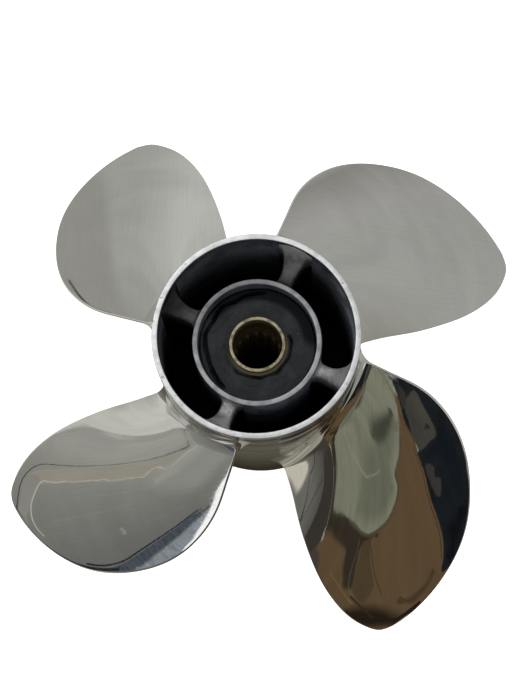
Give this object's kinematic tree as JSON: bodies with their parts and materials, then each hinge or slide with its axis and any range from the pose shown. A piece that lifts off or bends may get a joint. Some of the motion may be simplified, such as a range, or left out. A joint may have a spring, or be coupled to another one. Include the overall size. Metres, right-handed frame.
{
  "type": "outboard boat propeller, four-blade, through-hub exhaust",
  "caption": "Polished stainless outboard propeller: swept, raked blades on an exhaust barrel, ribbed inner hub with rubber bushing and splined brass sleeve.",
  "frame": {"origin": "centre of the barrel's rear face, on the floor that the propeller stands on", "axes": "+Z up along the shaft towards the front (engine) end; seen from the front end, +X is right and +Y is up"},
  "size_m": [0.3202, 0.3202, 0.137],
  "materials": {
    "polished_stainless": "stainless steel, mirror polished, fine polishing lines",
    "cast_stainless": "stainless steel as cast, satin",
    "rubber": "dark grey rubber, matt",
    "brass": "dull machined brass"
  },
  "bodies": {
    "root": {"barrel": "polished_stainless", "blade_1": "polished_stainless", "blade_2": "polished_stainless", "blade_3": "polished_stainless", "blade_4": "polished_stainless", "inner_hub": "cast_stainless", "rib_1": "cast_stainless", "rib_2": "cast_stainless", "rib_3": "cast_stainless", "rib_4": "cast_stainless", "rubber_bushing": "rubber", "spline_sleeve": "brass"}
  },
  "joints": []
}
